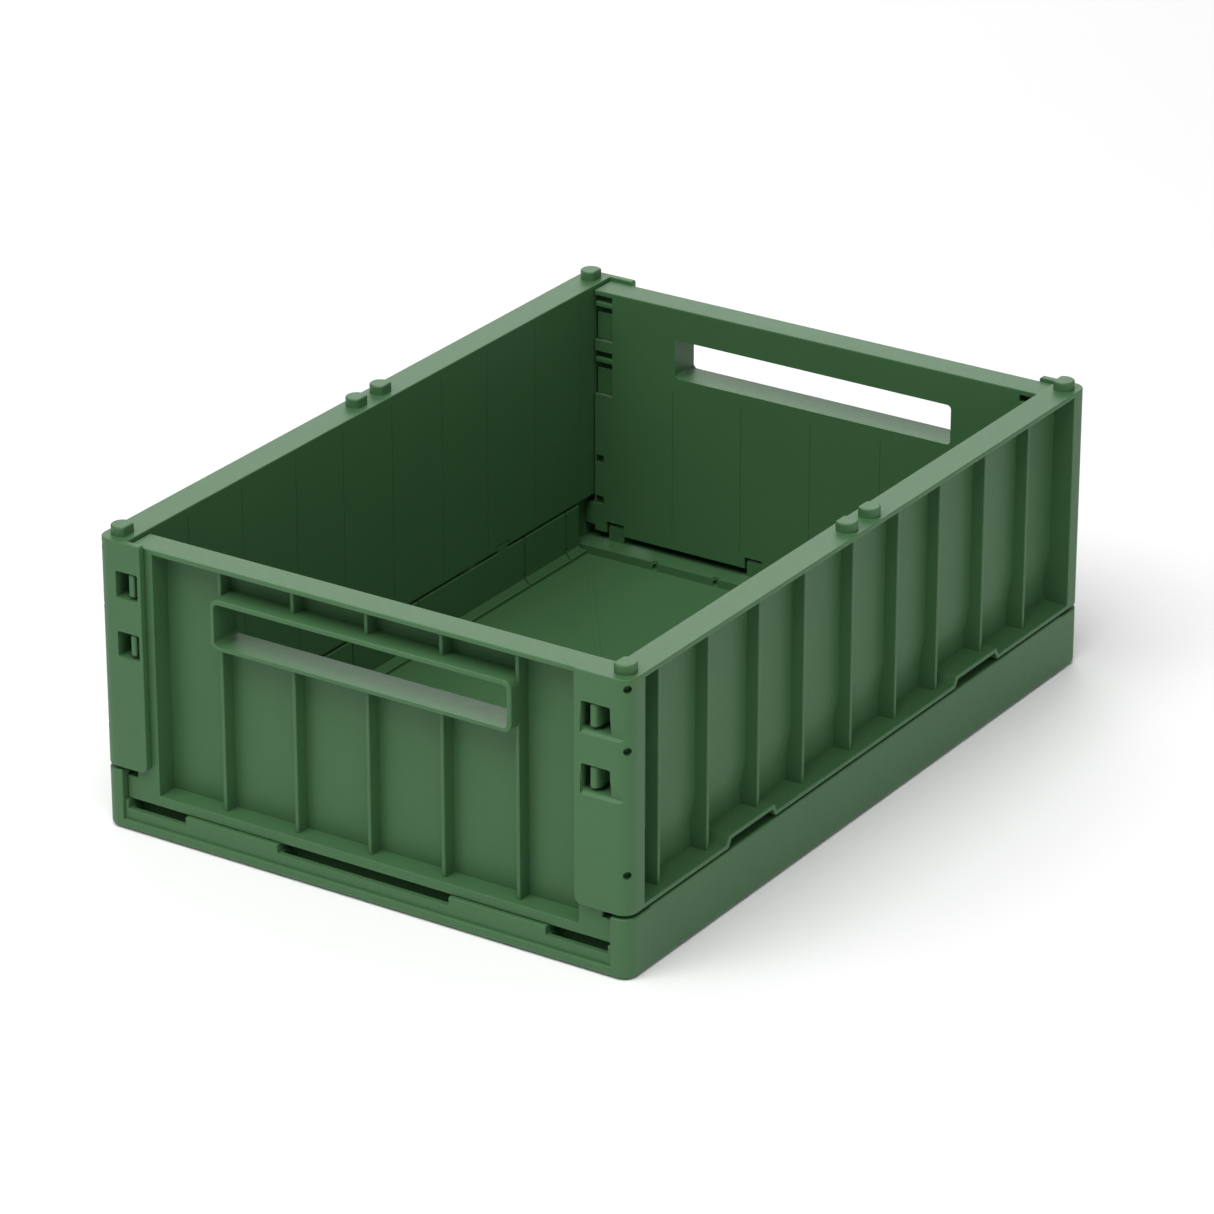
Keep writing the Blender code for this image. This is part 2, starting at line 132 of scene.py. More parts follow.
MIDDLE_HOLLOW = (-23.0, 23.0)
SIDE_HOLLOWS = ((-147.0, -75.0), (-73.0, -25.0), (25.0, 73.0), (75.0, 147.0))
WEB_X = (117.2, 119.4)
CROSS_WEBS = (-123.0, -99.0, -49.0, 49.0, 99.0, 123.0)
END_HOLLOWS = ((-109.0, -57.0), (-55.0, -1.0), (1.0, 55.0), (57.0, 109.0))
END_HOLLOW_Y = 152.5
SOCKET_X = 113.2
SOCKET_Y = 161.0
SOCKET_TOP = 6.3
SLIT = 1.0
SLIT_FLOOR = 3.6
SLIT_REACH = 3.0     # how far a slit runs out over the floor
SLIT_EYE = 1.1
SLIT_EYE_DEPTH = 1.4
END_SLIT_DEPTH = 0.4
END_SLIT_EYE = 1.5
END_SLIT_EYE_RISE = 0.9
LONG_SLITS = (24.0, 105.0, 137.5)
END_SLITS = (41.5, 73.0)
DEEP = 5.0           # how far the cutters start below the ground

# Long walls
RIM_TOP = 126.0
LONG_X = (111.5, 125.0)
LONG_PANEL_X = 115.5
LONG_RECESS_X = 113.4
LONG_RECESS_Z = (40.0, 53.0)
LONG_RIB_X = 121.0
LONG_Z = (27.5, RIM_TOP)
PLATE = 2.0
COLUMN_Y = 164.7
FLANGE_Y = (172.9, HALF_LENGTH)
FLANGE_X = {-1: 100.0, 1: 103.5}                     # the wide flange at -Y, the narrow one at +Y
FLANGE_ROOT = 4.0
FLANGE_CORNER = 3.5
FLANGE_TOP_CORNER = 1.0
LONG_RIBS = (-148.6, -113.7, -76.9, -43.2, -6.7, 28.3, 61.2, 97.9, 133.8)
RIB_ROOT = 2.3
RIB_TIP = 1.7
NOTCH_Y = (67.7, 107.6)
NOTCH_TOP = 31.2
NOTCH_SLOPE = 3.4
NOTCH_LIP = 1.8
NOTCH_MIDDLE = sum(NOTCH_Y) / 2
NOTCH_HOLE = (15.0, 18.2)
NOTCH_HOLE_SKIN = 0.6
STUD_RADIUS = 4.6
STUD_FLAT = 3.4
CORNER_STUD = (118.0, 167.6)
MID_STUDS_Y = (-8.6, 8.6)
MID_STUD_X = 118.4
PIN_HOLE_RADIUS = 1.7
PIN_HOLE_DEPTH = 3.0
PIN_HOLE_HEIGHTS = (44.6, 96.4, 122.0)

# End walls
END_HALF = 110.9
END_FOOT_TOP = 23.2
END_Y = (159.4, 172.7)
END_PANEL_Y = 163.0
END_RIB_Y = 169.2
END_Z = (13.0, 124.5)
END_FRAME_X = 100.0
END_LIP_Y = (159.4, 161.2)
END_LIP_FOOT = 10.4
END_BOTTOM_RAIL_TOP = 17.5
END_RIBS = (-70.0, -35.0, 0.0, 35.0, 70.0)
HANDLE_HALF = 71.0
HANDLE_Z = (90.0, 112.0)
HANDLE_Y = 174.7
HANDLE_WALL = 2.0
HANDLE_CORNER = 4.0
KEY_HOLES_Z = (25.5, 45.0)
KEY_HOLE_X = 108.0
KEY_HOLE = 2.0
LINE_WIDTH = 0.5     # the faint lines that ribs leave on the walls' inner faces
LINE_DEPTH = 0.18
LINE_MARGIN = 4.0

# Latches and the windows that they stand in
LATCH_Z = ((76.5, 87.5), (102.0, 113.5))
WINDOW_X = {-1: (103.4, 116.5), 1: (105.0, 115.6)}   # for the flange at -Y, then at +Y
WINDOW_CORNER = 0.8
WINDOW_POCKET_Y = 166.5
SCOOP_END_X = 122.0
SCOOP_MARGIN = 0.8
SCOOP_DEPTH = (0.4, 1.2)
LATCH_NOTCH_X = 101.6
LATCH_NOTCH_Y = 163.4
LATCH_NOTCH_MARGIN = 0.8
LATCH_MOUTH_DROP = 0.2
LATCH_NOTCH_RISE = 8.9
LATCH_MOUTH_X = {-1: 104.4, 1: 102.4}                # behind the narrow flange, then behind the wide one
LATCH_BAR_Y = (159.4, 162.0)
LATCH_BAR_RISE = (3.7, 5.7)
LATCH_PLATE_X = (101.9, 110.4)
LATCH_PLATE_Y = (161.2, 163.0)
LATCH_PLATE_MARGIN = 0.4
LATCH_HEAD_X = (107.0, 110.8)
LATCH_HEAD_Y = 175.4
LATCH_HEAD_FOOT = 1.2
LATCH_HEAD_GAP = 0.6
LATCH_RAMP = 2.4

# Snap hinges
END_AXIS = (164.0, 12.0)
END_JOURNALS = ((-114.6, -86.0), (-41.0, 41.0), (86.0, 114.6))
END_CLIPS = (-100.0, -28.0, 28.0, 100.0)
LONG_AXIS = (115.0, 28.4)
LONG_CLIPS = (-88.0, 88.0)
JOURNAL_RADIUS = 1.8
JOURNAL_INSET = 5.0
CLIP_BORE = 2.1
CLIP_RADIUS = 3.4
CLIP_WIDTH = 8.0
CLIP_ROOM = 0.5
CLIP_MOUTH = 1.5
CLIP_EDGE = 0.15

# Plastic: colours are sRGB, and a finish is its roughness and the strength of its grain
GREEN = (0.243, 0.386, 0.246)
SHEEN = (0.72, 1.0, 0.76, 1.0)
CRATE_FINISH = (0.48, 0.35)
LATCH_FINISH = (0.42, 0.15)
REFRACTION = 1.49
GLOSS = 0.42
MOTTLE = 0.035       # how far the colour strays, as a part of itself
ROUGHNESS_SPREAD = (-0.05, 0.06)

# Stage, light and camera, in metres and watts
STAGE_REACH = 6.0
STAGE_GAP = 0.0002
STAGE_COLOUR = (0.86, 0.86, 0.86)
STAGE_ROUGHNESS = 0.8
AZIMUTH = 33.2
ELEVATION = 24.2
DISTANCE = 2.35
LENS = 170.0
SENSOR = 36.0
AIM = (0.0, 0.0, 0.060)
WORLD_LIGHT = 0.28
LIGHTS_AIM = (0.0, 0.0, 0.05)
LIGHTS = (
    ("overhead", (0.1, -1.0, 2.4), 2.2, 64.0),
    ("behind", (-1.3, 2.0, 1.3), 2.2, 25.0),
    ("front_left", (-1.3, -2.0, 2.0), 1.5, 16.0),
    ("right", (2.3, -0.6, 0.8), 1.4, 8.0),
)


# ---------------------------------------------------------------- outlines

def arc(centre, radius, start, stop, steps):
    """Points along an arc, with both ends; angles are in degrees."""
    points = []
    for i in range(steps + 1):
        angle = math.radians(start + (stop - start) * i / steps)
        points.append((centre[0] + radius * math.cos(angle), centre[1] + radius * math.sin(angle)))
    return points


def rounded(u, v, radii):
    """A rectangle's outline with a radius for each corner: low-low, high-low, high-high, low-high."""
    corners = (
        (u[0], v[0], 1, 1, 180), (u[1], v[0], -1, 1, 270),
        (u[1], v[1], -1, -1, 0), (u[0], v[1], 1, -1, 90))
    outline = []
    for (cu, cv, su, sv, start), radius in zip(corners, radii):
        if radius:
            centre = (cu + su * radius, cv + sv * radius)
            outline += arc(centre, radius, start, start + 90, ARC_STEPS)
        else:
            outline.append((cu, cv))
    return outline


def outer_corner(side, end):
    """The radii of a rectangle whose only round corner is the crate's own, at that side and end."""
    corners = ((-1, -1), (1, -1), (1, 1), (-1, 1))
    return [CORNER_RADIUS if corner == (side, end) else 0.0 for corner in corners]


def mirrored(sign, low, high):
    """A span on the side of the middle that the sign gives, its low value first."""
    return tuple(sorted((sign * low, sign * high)))


def end_y(near, far):
    """A span in Y for the end wall, which is drawn at -Y."""
    return mirrored(-1, near, far)


def clip_outline(centre, foot):
    """A ring around the journal, open at the top, on a stem down to the level foot."""
    cu, cv = centre
    mouth_in = math.degrees(math.asin(CLIP_MOUTH / CLIP_BORE))
    mouth_out = math.degrees(math.asin(CLIP_MOUTH / CLIP_RADIUS))
    inner = arc(centre, CLIP_BORE, 90 - mouth_in, -270 + mouth_in, ROUND_STEPS)
    outer_left = arc(centre, CLIP_RADIUS, 90 + mouth_out, 180, ARC_STEPS)
    outer_right = arc(centre, CLIP_RADIUS, 0, 90 - mouth_out, ARC_STEPS)
    return inner + outer_left + [(cu - CLIP_RADIUS, foot), (cu + CLIP_RADIUS, foot)] + outer_right


# ---------------------------------------------------------------- shells, and the mouldings made of them

# A point's place from its two coordinates in an outline and its distance along the axis
PLACES = {
    "x": lambda u, v, w: Vector((w, u, v)),
    "y": lambda u, v, w: Vector((u, w, v)),
    "z": lambda u, v, w: Vector((u, v, w)),
}


def round_edges(shell, radius, segments, where=None):
    """Round the shell's sharp edges, or only those of them that where() picks."""
    edges = [e for e in shell.edges if len(e.link_faces) == 2 and e.calc_face_angle() > SHARP]
    if where:
        edges = [e for e in edges if where(e)]
    if radius and edges:
        bmesh.ops.bevel(
            shell, geom=edges, offset=radius * MM, offset_type="OFFSET", segments=segments,
            profile=0.5, affect="EDGES", clamp_overlap=True)


def boolean(target, operation, group):
    """Join the group's shells to the target, or cut them out of it."""
    step = target.modifiers.new(operation.lower(), "BOOLEAN")
    step.operation = operation
    step.solver = "MANIFOLD"
    step.operand_type = "COLLECTION"
    step.collection = group


class Moulding:
    """Closed shells with rounded edges. What is drawn first is joined, what follows cut() is taken out,
    and what follows add() is joined last."""

    def __init__(self):
        self.stages = [("UNION", [])]

    def cut(self):
        self.stages.append(("DIFFERENCE", []))

    def add(self):
        self.stages.append(("UNION", []))

    def take(self, shell, radius, segments=EDGE_SEGMENTS, foot_radius=0.0):
        """Round the shell's sharp edges and keep it. foot_radius rounds its lowest edges more."""
        bmesh.ops.recalc_face_normals(shell, faces=shell.faces[:])
        if foot_radius:
            low = min(v.co.z for v in shell.verts) + LEVEL * MM
            round_edges(shell, foot_radius, FOOT_SEGMENTS, lambda e: max(v.co.z for v in e.verts) < low)
            high = max(v.co.z for v in shell.verts) - LEVEL * MM
            round_edges(shell, radius, segments, lambda e: min(v.co.z for v in e.verts) > high)
        else:
            round_edges(shell, radius, segments)
        held = bpy.data.meshes.new("shell")
        shell.to_mesh(held)
        shell.free()
        self.stages[-1][1].append(held)

    def wedge(self, corner, radius=FINE):
        """A six-sided shell: corner(i, j, k) gives a corner, with 0 or 1 for its side in X, Y and Z."""
        shell = bmesh.new()
        bmesh.ops.create_cube(shell, size=1.0)
        for vert in shell.verts:
            i, j, k = (int(c > 0) for c in vert.co)
            vert.co = Vector(corner(i, j, k)) * MM
        self.take(shell, radius)

    def block(self, x, y, z, radius=FINE):
        """A box from its spans in X, Y and Z."""
        self.wedge(lambda i, j, k: (x[i], y[j], z[k]), radius)

    def prism(self, outline, low, high, axis="z", radius=FINE, **more):
        """An outline drawn out along one axis."""
        shell = bmesh.new()
        place = PLACES[axis]
        verts = [shell.verts.new(place(u, v, low) * MM) for u, v in outline]
        shell.faces.new(verts)
        made = bmesh.ops.extrude_face_region(shell, geom=shell.faces[:] + shell.edges[:] + verts)
        moved = [v for v in made["geom"] if isinstance(v, bmesh.types.BMVert)]
        bmesh.ops.translate(shell, verts=moved, vec=place(0, 0, high - low) * MM)
        self.take(shell, radius, **more)

    def rod(self, centre, radius, low, high, axis, edge=THIN):
        """A round rod along one axis."""
        outline = arc(centre, radius, 0, 360 - 360 / ROUND_STEPS, ROUND_STEPS - 1)
        self.prism(outline, low, high, axis, edge)

    def finished(self, name, turned=False):
        """The moulding as one object, turned half round about Z for the opposite wall."""
        made = bpy.data.objects.new(name + "_moulding", self.stages[0][1].pop(0))
        bpy.context.scene.collection.objects.link(made)
        groups = []
        for operation, meshes in self.stages:
            group = bpy.data.collections.new(name + "_shells")
            for mesh in meshes:
                group.objects.link(bpy.data.objects.new("shell", mesh))
            boolean(made, operation, group)
            groups.append(group)
        graph = bpy.context.evaluated_depsgraph_get()
        data = bpy.data.meshes.new_from_object(made.evaluated_get(graph))
        made.modifiers.clear()
        made.data = data
        for group in groups:
            for used in list(group.objects):
                bpy.data.objects.remove(used, do_unlink=True)
            bpy.data.collections.remove(group)
        if turned:
            data.transform(Matrix.Rotation(math.pi, 4, "Z"))
        data.name = name + "_moulding"
        data.shade_smooth()
        data.set_sharp_from_angle(angle=SHARP)
        normals = made.modifiers.new("flat faces stay flat", "WEIGHTED_NORMAL")
        normals.weight = NORMAL_WEIGHT
        normals.keep_sharp = True
        return made


# ---------------------------------------------------------------- base tray

def tray_rails(tray, side):
    """One long rail: its body, the lower channel beside the wall, the curb's foot, posts and clips."""
    tray.block(mirrored(side, CHANNEL_X, HALF_WIDTH), (-POST_Y, POST_Y), (FLOOR_TOP, RAIL_TOP), SOFT)
    channel_x = mirrored(side, CURB_X, CHANNEL_X + OVER)
    tray.block(channel_x, (-CURB_END, CURB_END), (FLOOR_TOP - OVER, RAIL_INNER_TOP), FINE)
    buried = side * (CURB_X + OVER)
    foot = [(buried, FLOOR_TOP - OVER), (buried, CURB_FOOT_TOP), (side * CURB_X, CURB_FOOT_TOP)]
    foot += [(side * CURB_FOOT_X, FLOOR_TOP + CURB_FOOT_EDGE), (side * CURB_FOOT_X, FLOOR_TOP - OVER)]
    tray.prism(foot, -CURB_END, CURB_END, "y", THIN)
    for end in (-1, 1):
        post_x = mirrored(side, POST_X, HALF_WIDTH)
        post_y = mirrored(end, POST_Y - OVER, HALF_LENGTH)
        post = rounded(post_x, post_y, outer_corner(side, end))
        tray.prism(post, FLOOR_TOP, POST_TOP, radius=SOFT)
    for middle in LONG_CLIPS:
        outline = [(side * u, v) for u, v in clip_outline(LONG_AXIS, RAIL_INNER_TOP - OVER)]
        tray.prism(outline, middle - CLIP_WIDTH / 2, middle + CLIP_WIDTH / 2, "y", CLIP_EDGE)


def tray_end(tray, end):
    """The rail, trench, curb and clips along one end."""
    wide = (-POST_X - OVER, POST_X + OVER)
    tray.block(wide, mirrored(end, *END_RAIL_Y), (FLOOR_TOP - OVER, END_RAIL_TOP), FINE)
    trench_y = mirrored(end, END_CURB_Y[0], END_RAIL_Y[0] + OVER)
    tray.block(wide, trench_y, (FLOOR_TOP - OVER, TRENCH_TOP), THIN)
    curb = (-CURB_X - OVER, CURB_X + OVER)
    tray.block(curb, mirrored(end, *END_CURB_Y), (FLOOR_TOP - OVER, END_CURB_TOP), THIN)
    for middle in END_CLIPS:
        outline = [(end * u, v) for u, v in clip_outline(END_AXIS, TRENCH_TOP - OVER)]
        tray.prism(outline, middle - CLIP_WIDTH / 2, middle + CLIP_WIDTH / 2, "x", CLIP_EDGE)


def tray_hollows(tray, side):
    """The rails' hollows, open below, and the sockets for the studs of the crate underneath."""
    top = RAIL_INNER_TOP - SKIN
    whole = mirrored(side, CURB_X + SKIN, HALF_WIDTH - SKIN)
    tray.block(whole, MIDDLE_HOLLOW, (-DEEP, top), SOFT)
    for low, high in SIDE_HOLLOWS:
        webs = [w for w in CROSS_WEBS if low < w < high]
        starts = [low] + [w + OVER for w in webs]
        stops = [w - OVER for w in webs] + [high]
        for hollow_x in ((CURB_X + SKIN, WEB_X[0]), (WEB_X[1], HALF_WIDTH - SKIN)):
            for start, stop in zip(starts, stops):
                tray.block(mirrored(side, *hollow_x), (start, stop), (-DEEP, top), FINE)
    for end in (-1, 1):
        y = mirrored(end, SOCKET_Y, HALF_LENGTH - SKIN - OVER)
        tray.block(mirrored(side, SOCKET_X, HALF_WIDTH - SKIN), y, (-DEEP, SOCKET_TOP), SOFT)


def tray_end_cuts(tray, end):
    """The end's hollows, open below, and the slots and pockets in its rail at the hinge journals."""
    for hollow_x in END_HOLLOWS:
        hollow_y = mirrored(end, END_HOLLOW_Y, END_RAIL_Y[1] - SKIN)
        tray.block(hollow_x, hollow_y, (-DEEP, TRENCH_TOP - SKIN), FINE)
    for low, high in END_JOURNALS:
        slot_y = mirrored(end, END_RAIL_Y[0] - 2 * OVER, END_RAIL_Y[1] + 2 * OVER)
        tray.block((low, high), slot_y, (END_SLOT_FLOOR, END_RAIL_TOP + DEEP), THIN)
        pocket_y = mirrored(end, END_RAIL_Y[0] + END_POCKET_WALL, END_RAIL_Y[1] - SKIN)
        tray.block((low + OVER, high - OVER), pocket_y, (END_POCKET_FLOOR, END_SLOT_FLOOR + OVER), 0.0)


def tray_slits(tray, side):
    """The slits that free the curb's flexible tabs, each with a round eye at its foot."""
    for middle in LONG_SLITS:
        for sign in (-1, 1):
            y = (sign * middle - SLIT / 2, sign * middle + SLIT / 2)
            x = mirrored(side, CURB_FOOT_X - SLIT_REACH, CURB_X + SKIN + OVER)
            tray.block(x, y, (SLIT_FLOOR, RAIL_INNER_TOP + DEEP), 0.0)
            eye = (sign * middle, CURB_FOOT_TOP + SLIT_EYE)
            tray.rod(eye, SLIT_EYE, *mirrored(side, CURB_X - OVER, CURB_X + SLIT_EYE_DEPTH), "x", 0.0)


def end_curb_slits(tray, end):
    """The same in an end's curb, with an eye at the foot and the top of each slit."""
    for middle in END_SLITS:
        for sign in (-1, 1):
            x = (sign * middle - SLIT / 2, sign * middle + SLIT / 2)
            y = mirrored(end, END_CURB_Y[0] - OVER, END_CURB_Y[1] + END_SLIT_DEPTH)
            tray.block(x, y, (SLIT_FLOOR, END_CURB_TOP + DEEP), 0.0)
            for z in (SLIT_FLOOR + END_SLIT_EYE_RISE, END_CURB_TOP):
                tray.rod((sign * middle, z), END_SLIT_EYE, *y, "y", 0.0)


def floor_lines(tray, low, high):
    """Two diagonal lines from corner to corner of the floor."""
    reach = Vector((CURB_FOOT_X - FLOOR_LINE_MARGIN[0], END_CURB_Y[0] - FLOOR_LINE_MARGIN[1]))
    aside = Vector((-reach.y, reach.x)).normalized() * FLOOR_LINE_WIDTH / 2
    for turn in (-1, 1):
        outline = []
        for along, across in ((-1, -1), (1, -1), (1, 1), (-1, 1)):
            point = reach * along + aside * across
            outline.append((point.x * turn, point.y))
        tray.prism(outline, low, high, "z", FLOOR_LINE_EDGE, segments=LINE_SEGMENTS)


def base_tray():
    """The tray, with the floor's faint lines joined on after the cuts."""
    tray = Moulding()
    plan = rounded((-HALF_WIDTH, HALF_WIDTH), (-HALF_LENGTH, HALF_LENGTH), [CORNER_RADIUS] * 4)
    tray.prism(plan, 0.0, BAND_TOP, radius=FINE, foot_radius=FOOT_RADIUS)
    for side in (-1, 1):
        tray_rails(tray, side)
    for end in (-1, 1):
        tray_end(tray, end)
    tray.cut()
    inside = (-END_CURB_Y[0], END_CURB_Y[0])
    tray.block((-CURB_FOOT_X, CURB_FOOT_X), inside, (FLOOR_TOP, RAIL_TOP + DEEP), 0.0)
    tray.block((-RELIEF_X, RELIEF_X), (-RELIEF_Y, RELIEF_Y), (-DEEP, FLOOR_LOW), 0.0)
    for side in (-1, 1):
        tray_hollows(tray, side)
        tray_slits(tray, side)
    for end in (-1, 1):
        tray_end_cuts(tray, end)
        end_curb_slits(tray, end)
    tray.add()
    floor_lines(tray, FLOOR_TOP - OVER, FLOOR_TOP + FLOOR_LINE)
    floor_lines(tray, UNDER_LINE_FOOT, FLOOR_LOW + OVER)
    return tray.finished("base_tray")


# ---------------------------------------------------------------- long wall, drawn at +X

def stud(wall, x, y):
    """A stacking stud on the rim, flat on its inner side."""
    lean = math.degrees(math.asin(STUD_FLAT / STUD_RADIUS))
    outline = arc((x, y), STUD_RADIUS, -90 - lean, 90 + lean, ROUND_STEPS)
    wall.prism(outline, RIM_TOP - OVER, STUD_TOP, "z", SOFT, segments=SOFT_SEGMENTS)


def arch(end, drop, foot):
    """The outline of a hinge notch's arch, drop below the lip's top line, down to the level foot."""
    rise = NOTCH_TOP + NOTCH_LIP - drop
    slope = NOTCH_SLOPE * (rise - foot) / (NOTCH_TOP + NOTCH_LIP - LONG_Z[0])
    points = [(NOTCH_Y[0] + drop, foot), (NOTCH_Y[0] + drop + slope, rise)]
    points += [(NOTCH_Y[1] - drop - slope, rise), (NOTCH_Y[1] - drop, foot)]
    return [(end * u, v) for u, v in points]


def long_corner(wall, end):
    """The column with the crate's rounded corner, and the flange that laps the end wall."""
    column = rounded(LONG_X, mirrored(end, COLUMN_Y, HALF_LENGTH), outer_corner(1, end))
    wall.prism(column, *LONG_Z, radius=FINE)
    flange_x = (FLANGE_X[end], LONG_X[0] + FLANGE_ROOT)
    flange = rounded(flange_x, LONG_Z, [FLANGE_CORNER, 0.0, 0.0, FLANGE_TOP_CORNER])
    wall.prism(flange, *mirrored(end, *FLANGE_Y), "y", FINE)
    stud(wall, CORNER_STUD[0], end * CORNER_STUD[1])


def long_windows(wall, end):
    """The latch windows, the pockets behind them and the small holes in the rounded corner."""
    window_x = WINDOW_X[end]
    for z in LATCH_Z:
        window = rounded(window_x, z, [WINDOW_CORNER] * 4)
        wall.prism(window, *mirrored(end, FLANGE_Y[0] - OVER, HALF_LENGTH + OVER), "y", 0.0)
        pocket_y = mirrored(end, WINDOW_POCKET_Y, FLANGE_Y[0] + THIN)
        wall.block((LONG_X[0] - OVER, window_x[1]), pocket_y, z, 0.0)
    for height in PIN_HOLE_HEIGHTS:
        pin_hole(wall, end, height)


def pin_hole(wall, end, height):
    """A small blind hole, square to the rounded corner."""
    middle = Vector((HALF_WIDTH - CORNER_RADIUS, end * (HALF_LENGTH - CORNER_RADIUS), height))
    outward = Vector((1, end, 0)).normalized()
    place = Matrix.Translation((middle + outward * CORNER_RADIUS) * MM)
    place @= outward.to_track_quat("Z", "Y").to_matrix().to_4x4()
    shell = bmesh.new()
    radius = PIN_HOLE_RADIUS * MM
    bmesh.ops.create_cone(
        shell, cap_ends=True, segments=ROUND_STEPS, radius1=radius, radius2=radius,
        depth=2 * PIN_HOLE_DEPTH * MM, matrix=place)
    wall.take(shell, 0.0)


def scoop(wall, low, high):
    """A shallow recess round a window of the wide flange, deepest at its foot, where a ledge slopes out."""
    x = (WINDOW_X[-1][0] - SCOOP_MARGIN / 2, SCOOP_END_X)
    z = (low - SCOOP_MARGIN, high + SCOOP_MARGIN)
    slope = SCOOP_DEPTH[1] + OVER

    def corner(i, j, k):
        if not j:
            return x[i], -HALF_LENGTH - OVER, z[k] - (0.0 if k else slope)
        depth = SCOOP_DEPTH[0] - OVER if k else SCOOP_DEPTH[1]
        return x[i], -HALF_LENGTH + depth, z[k]

    wall.wedge(corner, 0.0)


def long_panel(wall):
    """The panel, thinner at its foot, with its rim, its ledge and its ribs."""
    half = COLUMN_Y + 2 * OVER
    profile = [
        (LONG_X[0], LONG_Z[0]), (LONG_X[0], RIM_TOP), (LONG_PANEL_X, RIM_TOP),
        (LONG_PANEL_X, LONG_RECESS_Z[1]), (LONG_RECESS_X, LONG_RECESS_Z[0]), (LONG_RECESS_X, LONG_Z[0])]
    wall.prism(profile, -half, half, "y", FINE)
    wall.block(LONG_X, (-half, half), (RIM_TOP - PLATE, RIM_TOP), FINE)
    ledge_top = LONG_Z[0] + PLATE
    wall.block((LONG_X[0] + OVER, LONG_X[1]), (-half, half), (LONG_Z[0], ledge_top), FINE)
    for middle in LONG_RIBS:
        root = (LONG_RECESS_X - OVER, LONG_RIB_X)
        half_width = (RIB_ROOT / 2, RIB_TIP / 2)
        outline = [(root[0], middle - half_width[0]), (root[1], middle - half_width[1])]
        outline += [(root[1], middle + half_width[1]), (root[0], middle + half_width[0])]
        wall.prism(outline, LONG_Z[0] + OVER, RIM_TOP - OVER, "z", FINE)


def long_wall(name, turned):
    """The long wall, with the journals joined on after the cuts."""
    wall = Moulding()
    long_panel(wall)
    for end in (-1, 1):
        long_corner(wall, end)
        wall.prism(arch(end, 0.0, LONG_Z[0]), LONG_RECESS_X - OVER, LONG_X[1], "x", FINE)
    for middle in MID_STUDS_Y:
        stud(wall, MID_STUD_X, middle)
    wall.cut()
    for end in (-1, 1):
        long_windows(wall, end)
        wall.prism(arch(end, NOTCH_LIP, LONG_Z[0] - OVER), LONG_RECESS_X + THIN, LONG_X[1] + OVER, "x", 0.0)
        hole_x = (LONG_X[0] + NOTCH_HOLE_SKIN, LONG_RECESS_X + OVER)
        hole_y = (end * NOTCH_MIDDLE + NOTCH_HOLE[0], end * NOTCH_MIDDLE + NOTCH_HOLE[1])
        wall.block(hole_x, hole_y, (LONG_Z[0] - OVER, NOTCH_TOP - NOTCH_HOLE_SKIN), 0.0)
    for z in LATCH_Z:
        scoop(wall, *z)
    for middle in LONG_CLIPS:
        half = CLIP_WIDTH / 2 + CLIP_ROOM
        wall.rod(LONG_AXIS, CLIP_RADIUS + CLIP_ROOM, middle - half, middle + half, "y", 0.0)
    for middle in LONG_RIBS:
        y = (middle - LINE_WIDTH / 2, middle + LINE_WIDTH / 2)
        z = (LONG_Z[0] + LINE_MARGIN, RIM_TOP - LINE_MARGIN)
        wall.block((LONG_X[0] - OVER, LONG_X[0] + LINE_DEPTH), y, z, 0.0)
    wall.add()
    for end in (-1, 1):
        span = mirrored(end, NOTCH_Y[0] + JOURNAL_INSET, NOTCH_Y[1] - JOURNAL_INSET)
        wall.rod(LONG_AXIS, JOURNAL_RADIUS, *span, "y")
    return wall.finished(name, turned)


# ---------------------------------------------------------------- end wall, drawn at -Y

def end_panel(wall):
    """The panel with its rim, bottom rail, lip, side frames, ribs and boxed hand slot."""
    depth = end_y(*END_Y)
    foot = (-END_FOOT_HALF, END_FOOT_HALF)
    wall.block((-END_HALF, END_HALF), end_y(END_Y[0], END_PANEL_Y), END_Z, FINE)
    wall.block((-END_HALF, END_HALF), depth, (END_Z[1] - PLATE, END_Z[1]), FINE)
    wall.block(foot, depth, (END_Z[0], END_BOTTOM_RAIL_TOP), FINE)
    wall.block((-END_HALF, END_HALF), end_y(*END_LIP_Y), (END_LIP_FOOT, END_BOTTOM_RAIL_TOP), FINE)
    for side in (-1, 1):
        wall.block(mirrored(side, END_FRAME_X, END_HALF), depth, END_Z, FINE)
        wall.block(mirrored(side, END_FRAME_X, END_FOOT_HALF), depth, (END_Z[0], END_FOOT_TOP), FINE)
    for middle in END_RIBS:
        outline = [(middle - RIB_TIP / 2, -END_RIB_Y), (middle + RIB_TIP / 2, -END_RIB_Y)]
        outline += [(middle + RIB_ROOT / 2, OVER - END_PANEL_Y), (middle - RIB_ROOT / 2, OVER - END_PANEL_Y)]
        wall.prism(outline, END_Z[0] + OVER, END_Z[1] - OVER, "z", FINE)
    box = rounded((-HANDLE_HALF, HANDLE_HALF), HANDLE_Z, [HANDLE_CORNER] * 4)
    wall.prism(box, *end_y(END_Y[0] + OVER, HANDLE_Y), "y", SOFT, segments=SOFT_SEGMENTS)


def hand_slot(wall):
    """The opening for the fingers, inside its box."""
    grip_x = (-HANDLE_HALF + HANDLE_WALL, HANDLE_HALF - HANDLE_WALL)
    grip_z = (HANDLE_Z[0] + HANDLE_WALL, HANDLE_Z[1] - HANDLE_WALL)
    grip = rounded(grip_x, grip_z, [HANDLE_CORNER - HANDLE_WALL] * 4)
    wall.prism(grip, *end_y(END_Y[0] - DEEP, HANDLE_Y + DEEP), "y", 0.0)


